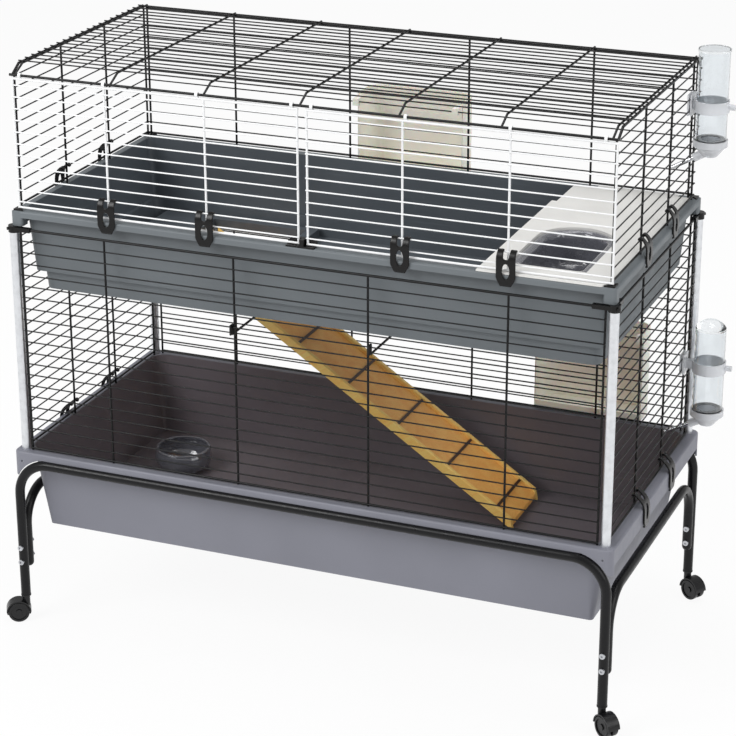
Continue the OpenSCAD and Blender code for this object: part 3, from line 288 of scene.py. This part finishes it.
RAMP_TILT = math.radians(33.9)
MATERIALS = {
    "tube_black": coated("tube_black", srgb(15, 15, 17), 0.3, worn=0.15, Specular_IOR_Level=0.26),
    "wire_black": coated(
        "wire_black", srgb(9, 9, 10), 0.36, worn=0.1, grain=0.00002, Specular_IOR_Level=0.28),
    "wire_white": coated("wire_white", srgb(238, 239, 240), 0.34, worn=0.0, grain=0.00002),
    "bolt_steel": metal("bolt_steel", srgb(196, 198, 202), 0.3),
    "caster_black": moulded(
        "caster_black", srgb(15, 15, 17), 0.3, tone=0.15, Specular_IOR_Level=0.4),
    # the lower tray's second colour, for its inside, is painted shade
    "lower_tray_grey": tray_plastic(
        "lower_tray_grey", srgb(124, 125, 135), srgb(106, 99, 104),
        half=(0.5845, 0.2755), radius=0.0325, taper=0.16, rim_z=0.366, floor_z=0.2),
    "post_silver": metal("post_silver", srgb(230, 232, 235), 0.36),
    "clip_black": moulded("clip_black", srgb(8, 7, 7), 0.26, tone=0.15, Specular_IOR_Level=0.3),
    "ramp_wood": timber("ramp_wood", srgb(252, 194, 106), srgb(238, 148, 54), RAMP_TILT),
    "ramp_edge_wood": timber("ramp_edge_wood", srgb(255, 220, 130), srgb(252, 182, 80), RAMP_TILT),
    # painted shade: the treads are dark wood to stand in for the shade they cast on the deck
    "tread_wood": timber("tread_wood", srgb(74, 44, 24), srgb(44, 25, 14), RAMP_TILT),
    "bowl_smoke": clear(
        "bowl_smoke", srgb(140, 141, 150), 0.05, 0.6, Coat_Weight=1.0, Coat_Roughness=0.03),
    "rack_cream": moulded(
        "rack_cream", srgb(254, 248, 236), 0.4, Subsurface_Weight=0.25, Subsurface_Scale=0.01),
    "shelter_cream": moulded("shelter_cream", srgb(220, 219, 216), 0.42),
    "bottle_clear": clear("bottle_clear", srgb(246, 249, 251), 0.03, 1.0),
    "cap_blue": clear("cap_blue", srgb(242, 244, 248), 0.18, 0.38),
    "spout_steel": metal("spout_steel", srgb(214, 216, 219), 0.16),
    # the upper tray's second colour, for its inside, is painted shade
    "upper_tray_grey": tray_plastic(
        "upper_tray_grey", srgb(104, 110, 114), srgb(78, 84, 90),
        half=(0.5745, 0.2585), radius=0.0195, taper=0.1, rim_z=0.852, floor_z=0.69,
        step_z=0.7265, step_in=0.02145),
}
for part in frame["record"]["subparts"]:
    shown = nodes[part["node"]]
    for slot in shown.material_slots:
        slot.material = MATERIALS[part["material_slot"]]


# clips: one bent strip of plastic each, curled round its wire above, its toe under the tray's rim below
STRIP = 0.0032
# the rounding of the strip's edges and of its outline's corners, and the size of its mesh's faces
CLIP_EDGE, CLIP_CORNER, CLIP_VOXEL = 0.0008, 0.004, 0.0008
# the curl's radius, its angles from the strip's end on, its steps, and the step at its highest point
CURL, CURL_FROM, CURL_TO, CURL_STEPS, CROWN = 0.0032, 215, 50, 14, 10
# the sweep from the curl to the upright plate: its lean at the curl, the reach of its handles as a part
# of its chord, its steps, and its lower end as a part of the clip's height
SWEEP_LEAN, SWEEP_REACH, SWEEP_STEPS, SWEEP_END = -40, 0.42, 12, 0.5
# the toe's bend, and its straight tip under the rim
TOE_R, TOE_STEPS, TOE_TIP = 0.0026, 6, 0.0016
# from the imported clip's outer face back to the strip's middle line
PLATE_BACK = 0.0026
LEAST_WIDTH = 0.01
# oval hole: half its width, and half its height and its middle as parts of the face below the crown
HOLE_HALF, HOLE_TALL, HOLE_AT, HOLE_STEPS = 0.0066, 0.2, 0.58, 28
# notch: half its width at the curled end and at its foot, and its foot as a part of the same face
NOTCH_MOUTH, NOTCH_FOOT, NOTCH_DEPTH = 0.0068, 0.0048, 0.27
# one side of the flat strip from the curled end to the toe: how far inside the full width, and the
# place along the strip as a part of its length less a distance
CLIP_SIDE = ((0.001, 0, 0), (0, 0.3, 0), (0, 1, 0.016), (0.008, 1, 0.002), (0.009, 1, 0))


def arc(centre, radius, start, end, steps):
    """Points on a circle, angles in degrees."""
    out = []
    for i in range(steps + 1):
        a = math.radians(start + (end - start) * i / steps)
        out.append(Vector((centre[0] + radius * math.cos(a), centre[1] + radius * math.sin(a))))
    return out


def clip_path(plate, drop):
    """Middle line of a clip in its side view, as (outward, up) from its wire, top first."""
    path = arc((0, 0), CURL, CURL_FROM, CURL_TO, CURL_STEPS)
    start, end = path[-1], Vector((plate, -SWEEP_END * drop))
    lean = math.radians(SWEEP_LEAN)
    reach = SWEEP_REACH * (end - start).length
    leave, arrive = start + reach * Vector((math.cos(lean), math.sin(lean))), end + Vector((0, reach))
    for i in range(1, SWEEP_STEPS + 1):
        t = i / SWEEP_STEPS
        path.append(
            (1 - t) ** 3 * start + 3 * (1 - t) ** 2 * t * leave
            + 3 * (1 - t) * t * t * arrive + t ** 3 * end)
    path += arc((plate - TOE_R, -drop + STRIP / 2 + TOE_R), TOE_R, 0, -90, TOE_STEPS)
    path.append(path[-1] + Vector((-TOE_TIP, 0)))
    return path


def rounded(points, radius, steps=5):
    """The closed outline with each corner rounded, as far as the sides beside it are long enough."""
    out = []
    for i, here in enumerate(points):
        before = points[i - 1] - here
        after = points[(i + 1) % len(points)] - here
        cut = min(radius, 0.45 * before.length, 0.45 * after.length)
        a, b = here + before.normalized() * cut, here + after.normalized() * cut
        for k in range(steps + 1):
            t = k / steps
            out.append((1 - t) ** 2 * a + 2 * t * (1 - t) * here + t * t * b)
    return out


def fixed_mesh(source, name):
    """The evaluated mesh of an object, which is then deleted."""
    made = bpy.data.meshes.new_from_object(source.evaluated_get(bpy.context.evaluated_depsgraph_get()))
    made.name = name
    bpy.data.objects.remove(source)
    return made


def flat_clip(name, width, total, crown):
    """The strip before it is bent, its width along X and its length along Y, in small even faces."""
    face = total - crown
    half, notch = width / 2, crown + NOTCH_DEPTH * face
    side = [(NOTCH_MOUTH, 0)]
    side += [(half - inset, part * total - less) for inset, part, less in CLIP_SIDE]
    outline = [Vector(p) for p in side] + [Vector((-x, v)) for x, v in reversed(side)]
    outline += [Vector((-NOTCH_FOOT, notch)), Vector((NOTCH_FOOT, notch))]
    tall, hole_at = HOLE_TALL * face, crown + HOLE_AT * face
    turns = [math.tau * k / HOLE_STEPS for k in range(HOLE_STEPS)]
    hole = [Vector((HOLE_HALF * math.cos(a), hole_at + tall * math.sin(a))) for a in turns]
    curve = bpy.data.curves.new(name, "CURVE")
    curve.dimensions, curve.fill_mode = "2D", "BOTH"
    curve.extrude, curve.bevel_depth, curve.bevel_resolution = STRIP / 2 - CLIP_EDGE, CLIP_EDGE, 2
    curve.offset = -CLIP_EDGE
    for points in (rounded(outline, CLIP_CORNER), hole):
        spline = curve.splines.new("POLY")
        spline.points.add(len(points) - 1)
        for target, point in zip(spline.points, points):
            target.co = (point[0], point[1], 0, 1)
        spline.use_cyclic_u = True
    flat = bpy.data.objects.new(name, curve)
    scene.collection.objects.link(flat)
    solid = bpy.data.objects.new(name, fixed_mesh(flat, name))
    scene.collection.objects.link(solid)
    remesh = solid.modifiers.new("even", "REMESH")
    remesh.mode, remesh.voxel_size = "VOXEL", CLIP_VOXEL
    smooth = solid.modifiers.new("soft", "SMOOTH")
    smooth.factor, smooth.iterations = 0.5, 3
    return fixed_mesh(solid, name)


def clip_mesh(name, width, plate, drop):
    """A clip with its wire along X at the origin, outward along -Y."""
    path = clip_path(plate, drop)
    lengths = [0.0]
    for a, b in zip(path, path[1:]):
        lengths.append(lengths[-1] + (b - a).length)
    total = lengths[-1]
    mesh = flat_clip(name, width, total, lengths[CROWN])
    for vertex in mesh.vertices:
        x, along, off = vertex.co
        along = min(max(along, 0.0), total)
        i = max(k for k in range(len(path) - 1) if lengths[k] <= along)
        t = (along - lengths[i]) / (lengths[i + 1] - lengths[i])
        here = path[i].lerp(path[i + 1], t)
        before, after = path[max(i - 1, 0)], path[min(i + 2, len(path) - 1)]
        way = (path[i + 1] - before).normalized().lerp((after - path[i]).normalized(), t).normalized()
        here = here + off * Vector((-way[1], way[0]))
        vertex.co = (x, -here[0], here[1])
    for face in mesh.polygons:
        face.use_smooth = True
    mesh.materials.append(MATERIALS["clip_black"])
    return mesh


clip_meshes = {}
for joint in JOINTS.values():
    body = joint["child"]
    if not body.endswith("_clip"):
        continue
    place = Vector(joint["pos_m"])
    outward = Vector((0, 0, 1)).cross(Vector(joint["axis"]))
    low, high = (Vector(c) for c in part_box(body))
    far = max((low - place).dot(outward), (high - place).dot(outward))
    width = max(abs((high - low).dot(outward.cross(Vector((0, 0, 1))))), LEAST_WIDTH)
    sizes = (round(width, 4), round(far - PLATE_BACK, 4), round(place.z - low.z, 4))
    if sizes not in clip_meshes:
        clip_meshes[sizes] = clip_mesh("clip_%d" % len(clip_meshes), *sizes)
    clip = bpy.data.objects.new(body + "_strip", clip_meshes[sizes])
    turn_to = math.atan2(outward.x, -outward.y)
    clip.matrix_world = Matrix.Translation(place) @ Matrix.Rotation(turn_to, 4, "Z")
    scene.collection.objects.link(clip)
    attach(clip, body)
    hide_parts(body)


# ramp: its boards with rounded edges, the deck let in between the rails; sizes are in its own frame,
# X down along it from the pivot and Z up from its face, in metres
ramp_pivot = Vector(JOINTS["ramp_hinge"]["pos_m"])
RAIL_HIGH, RAIL_LOW, RAIL_T, RAIL_HEEL, RAIL_EDGE = 0.007, 0.011, 0.01, 0.012, 0.0012
HEAD_STEPS, PIVOT_R, PIVOT_STEPS = 14, 0.005, 40
DECK_START, DECK_LOW, DECK_TOP, DECK_EDGE = 0.016, -0.0048, 0.0008, 0.0008
TREADS, TREAD_PITCH, FIRST_TREAD = 7, 0.127, 0.0368
TREAD_H, TREAD_L, TREAD_GAP, TREAD_EDGE = 0.0042, 0.0056, 0.001, 0.001
# edges that turn by more than this, in radians, are rounded
SHARP = 0.4
rails_low, rails_high = (Vector(c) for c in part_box("ramp_rails"))
ramp_half = (rails_high.y - rails_low.y) / 2
ramp_len = (ramp_pivot.z - rails_low.z - RAIL_LOW * math.cos(RAMP_TILT)) / math.sin(RAMP_TILT)
# the boards' lower end is one plane at 45 degrees to them, where X plus Z is this
foot_cut = ramp_len - RAIL_LOW


def add_board(bm, outline, low_y, high_y, edge):
    """Adds a board whose side view is the outline in the ramp's own X and Z, its sharp edges rounded."""
    first = bm.faces.new([bm.verts.new((x, low_y, z)) for x, z in outline])
    grown = bmesh.ops.extrude_face_region(bm, geom=[first])["geom"]
    verts = [v for v in grown if isinstance(v, bmesh.types.BMVert)]
    bmesh.ops.translate(bm, vec=(0, high_y - low_y, 0), verts=verts)
    faces = dict.fromkeys(f for v in verts + list(first.verts) for f in v.link_faces)
    bmesh.ops.recalc_face_normals(bm, faces=list(faces))
    rims = dict.fromkeys(e for f in faces for e in f.edges)
    sharp = [e for e in rims if e.calc_face_angle(0.0) > SHARP]
    bmesh.ops.bevel(bm, geom=sharp, offset=edge, segments=3, profile=0.5, affect="EDGES")


def ramp_piece(node, bm, slot):
    """Turns the finished boards into a piece in the node's place."""
    # bevels leave the points and faces in another order each run, so they are put in one order here
    order = sorted(bm.verts, key=lambda v: [round(c, 7) for c in v.co])
    number = {v: i for i, v in enumerate(order)}
    faces = []
    for face in bm.faces:
        ring = [number[v] for v in face.verts]
        start = ring.index(min(ring))
        faces.append(ring[start:] + ring[:start])
    mesh = bpy.data.meshes.new(node + "_boards")
    mesh.from_pydata([v.co[:] for v in order], [], sorted(faces))
    bm.free()
    mesh.transform(Matrix.Translation(ramp_pivot) @ Matrix.Rotation(RAMP_TILT, 4, "Y"))
    mesh.materials.append(MATERIALS[slot])
    piece = bpy.data.objects.new(node + "_boards", mesh)
    scene.collection.objects.link(piece)
    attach(piece, "ramp")
    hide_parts(node)


rail = [tuple(p) for p in arc((0, 0), RAIL_HIGH, 90, 270, HEAD_STEPS)]
rail += [(RAIL_HEEL, -RAIL_LOW), (ramp_len, -RAIL_LOW), (foot_cut - RAIL_HIGH, RAIL_HIGH)]
inner = ramp_half - RAIL_T
boards = bmesh.new()
for side in (-1, 1):
    edges = sorted((side * ramp_half, side * inner))
    add_board(boards, rail, edges[0], edges[1], RAIL_EDGE)
bmesh.ops.create_cone(
    boards, cap_ends=True, segments=PIVOT_STEPS, radius1=PIVOT_R, radius2=PIVOT_R,
    depth=2 * ramp_half - RAIL_T, matrix=Matrix.Rotation(math.pi / 2, 4, "X"))
ramp_piece("ramp_rails", boards, "ramp_edge_wood")

deck = [(DECK_START, DECK_LOW), (foot_cut - DECK_LOW, DECK_LOW)]
deck += [(foot_cut - DECK_TOP, DECK_TOP), (DECK_START, DECK_TOP)]
boards = bmesh.new()
add_board(boards, deck, -inner, inner, DECK_EDGE)
ramp_piece("ramp_deck", boards, "ramp_wood")

boards = bmesh.new()
for i in range(TREADS):
    x, top = FIRST_TREAD + i * TREAD_PITCH - TREAD_L / 2, DECK_TOP + TREAD_H
    tread = [(x, DECK_TOP), (x + TREAD_L, DECK_TOP), (x + TREAD_L, top), (x, top)]
    add_board(boards, tread, -inner + TREAD_GAP, inner - TREAD_GAP, TREAD_EDGE)
ramp_piece("ramp_treads", boards, "tread_wood")


# upper bowl: one clear moulding with a flange, rounded corners and shallow upright flutes
PLASTIC = 0.0024
BACK_STEPS, CORNER_STEPS = 48, 10
# the flange's rings: inset from the bay's outline, front corner radius, depth under the top
FLANGE = [
    (0.0132, 0.004, 0.003), (0.0, 0.0025, 0.003), (0.0, 0.0025, 0.0008),
    (0.0008, 0.0025, 0.0), (0.0115, 0.012, 0.0), (0.0136, 0.016, 0.003)]
# the inner wall: its inset and corner at the top, how much each grows to the floor, and the power of
# the inset's growth; then its rings, the depth of its top, and the bowl's depth less its own way down
WALL_INSET, WALL_CORNER, WALL_LEAN, CORNER_GROWTH, WALL_POWER = 0.0145, 0.018, 0.0095, 0.01, 2.2
WALL_STEPS, WALL_TOP, WALL_SHORT = 9, 0.004, 0.0125
# the inner floor's rings: inset, corner, height over the bowl's underside
FLOOR_RINGS = [(0.03, 0.02, 0.0042), (0.038, 0.016, 0.003)]
OUTER_CORNER = 0.002
# flutes: their depth as a part of the distance from the middle, one to so many points of a loop, and
# the power that narrows them
FLUTE_DEPTH, FLUTE_EVERY, FLUTE_POWER = 0.018, 10, 3


def bay_loop(box, inset, corner):
    """A closed loop in the bay's plan: straight front and sides, a half circle behind."""
    x, half, back = (box[0].x + box[1].x) / 2, (box[1].x - box[0].x) / 2, box[1].y
    round_y, front = back - half, box[0].y + inset
    r = half - inset
    loop = [(x + p[0], round_y + p[1]) for p in arc((0, 0), r, 0, 180, BACK_STEPS)]
    for centre, start in ((corner - r, 180), (r - corner, 270)):
        bend = arc((centre, 0), corner, start, start + 90, CORNER_STEPS)
        loop += [(x + p[0], front + corner + p[1]) for p in bend]
    return loop


def bowl_mesh(box):
    """The bowl as rings from the flange's underside over its edge, down inside and back up outside."""
    depth = box[1].z - box[0].z
    inside = []
    for k in range(WALL_STEPS):
        t = k / (WALL_STEPS - 1)
        down = WALL_TOP + (depth - WALL_SHORT) * math.sin(t * math.pi / 2)
        inset = WALL_INSET + WALL_LEAN * t ** WALL_POWER
        inside.append((inset, WALL_CORNER + CORNER_GROWTH * t, down, FLUTE_DEPTH))
    inside += [(inset, corner, depth - up, 0) for inset, corner, up in FLOOR_RINGS]
    outside = [
        (inset - PLASTIC, corner + OUTER_CORNER, min(down + PLASTIC, depth), flute)
        for inset, corner, down, flute in reversed(inside)]
    bm = bmesh.new()
    rings = []
    for inset, corner, down, flute in [ring + (0,) for ring in FLANGE] + inside + outside:
        points = bay_loop(box, inset, corner)
        mid = (sum(p[0] for p in points) / len(points), sum(p[1] for p in points) / len(points))
        ring = []
        for i, (x, y) in enumerate(points):
            k = 1 + flute * (0.5 + 0.5 * math.cos(math.tau * i / FLUTE_EVERY)) ** FLUTE_POWER
            place = (mid[0] + (x - mid[0]) / k, mid[1] + (y - mid[1]) / k, box[1].z - down)
            ring.append(bm.verts.new(place))
        rings.append(ring)
    # the innermost rings of the inner and the outer floor are closed by a face each, not joined
    turn_back = len(FLANGE) + len(inside) - 1
    for j, (a, b) in enumerate(zip(rings, rings[1:] + rings[:1])):
        if j == turn_back:
            continue
        for i in range(len(a)):
            bm.faces.new((a[i], a[(i + 1) % len(a)], b[(i + 1) % len(a)], b[i]))
    bm.faces.new(rings[turn_back])
    bm.faces.new(list(reversed(rings[turn_back + 1])))
    bmesh.ops.recalc_face_normals(bm, faces=bm.faces)
    mesh = bpy.data.meshes.new("upper_bowl_moulding")
    bm.to_mesh(mesh)
    bm.free()
    for face in mesh.polygons:
        face.use_smooth = True
    return mesh


bowl = bpy.data.objects.new("upper_bowl_moulding", bowl_mesh([Vector(c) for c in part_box("upper_bowl")]))
bowl.data.materials.append(MATERIALS["bowl_smoke"])
scene.collection.objects.link(bowl)
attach(bowl, "upper_bowl")
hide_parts("upper_bowl")


# studio
def stage_material(name, colour, glow):
    """A pale stage that keeps the shadow, nearly white to the camera, to gloss and through glass."""
    s = Shader(name, Roughness=0.9)
    s.colour(s.mix(s.span(s.noise(0.8, 3.0), *MOST), colour, scaled(colour, 0.99)))
    rays = s.add("ShaderNodeLightPath").outputs
    seen = s.math("MAXIMUM", rays["Is Camera Ray"], rays["Is Glossy Ray"])
    seen = s.math("MAXIMUM", seen, rays["Is Transmission Ray"])
    lit = s.add("ShaderNodeEmission")
    lit.inputs["Strength"].default_value = 1.0
    blend = s.add("ShaderNodeMixShader")
    s.put(blend.inputs[0], s.math("MULTIPLY", seen, glow))
    s.put(blend.inputs[1], s.bsdf.outputs[0])
    s.put(blend.inputs[2], lit.outputs[0])
    output = s.tree.nodes["Material Output"]
    s.put(output.inputs["Surface"], blend.outputs[0])
    return s.material


FLOOR_HALF = 30.0
FLOOR_GREY, FLOOR_GLOW = (0.9, 0.9, 0.9, 1.0), 0.92
corners = [(x * FLOOR_HALF, y * FLOOR_HALF, 0) for x, y in ((-1, -1), (1, -1), (1, 1), (-1, 1))]
floor_mesh = bpy.data.meshes.new("floor")
floor_mesh.from_pydata(corners, [], [(0, 1, 2, 3)])
floor_mesh.materials.append(stage_material("floor", FLOOR_GREY, FLOOR_GLOW))
floor = bpy.data.objects.new("floor", floor_mesh)
scene.collection.objects.link(floor)

# the surroundings light the cage at one level, and show at another to the camera and through glass
LIGHTS_AT, SHOWS_AT = 0.5, 1.0
world = bpy.data.worlds.new("studio")
world.use_nodes = True
scene.world = world
tree = world.node_tree
background = tree.nodes["Background"]
background.inputs["Color"].default_value = (1.0, 1.0, 1.0, 1.0)
rays = tree.nodes.new("ShaderNodeLightPath").outputs
strongest = tree.nodes.new("ShaderNodeMath")
strongest.operation = "MAXIMUM"
tree.links.new(rays["Is Camera Ray"], strongest.inputs[0])
tree.links.new(rays["Is Transmission Ray"], strongest.inputs[1])
level = tree.nodes.new("ShaderNodeMapRange")
level.inputs["To Min"].default_value = LIGHTS_AT
level.inputs["To Max"].default_value = SHOWS_AT
tree.links.new(strongest.outputs[0], level.inputs["Value"])
tree.links.new(level.outputs[0], background.inputs["Strength"])


MIDDLE = Vector((0.0, 0.0, 0.6))


def softbox(name, place, size, watts):
    """A rectangular studio lamp that faces the cage's middle."""
    data = bpy.data.lights.new(name, "AREA")
    data.shape = "RECTANGLE"
    data.size, data.size_y = size
    data.energy = watts
    lamp = bpy.data.objects.new(name, data)
    lamp.location = place
    lamp.rotation_euler = (MIDDLE - Vector(place)).to_track_quat("-Z", "Y").to_euler()
    scene.collection.objects.link(lamp)


softbox("key", (-2.4, -3.4, 3.6), size=(2.4, 2.4), watts=144.0)
softbox("fill", (3.5, -1.0, 2.2), size=(2.4, 2.4), watts=42.0)
softbox("top", (0.2, 0.6, 4.2), size=(3.0, 2.0), watts=60.0)

scene.view_settings.view_transform = "Standard"
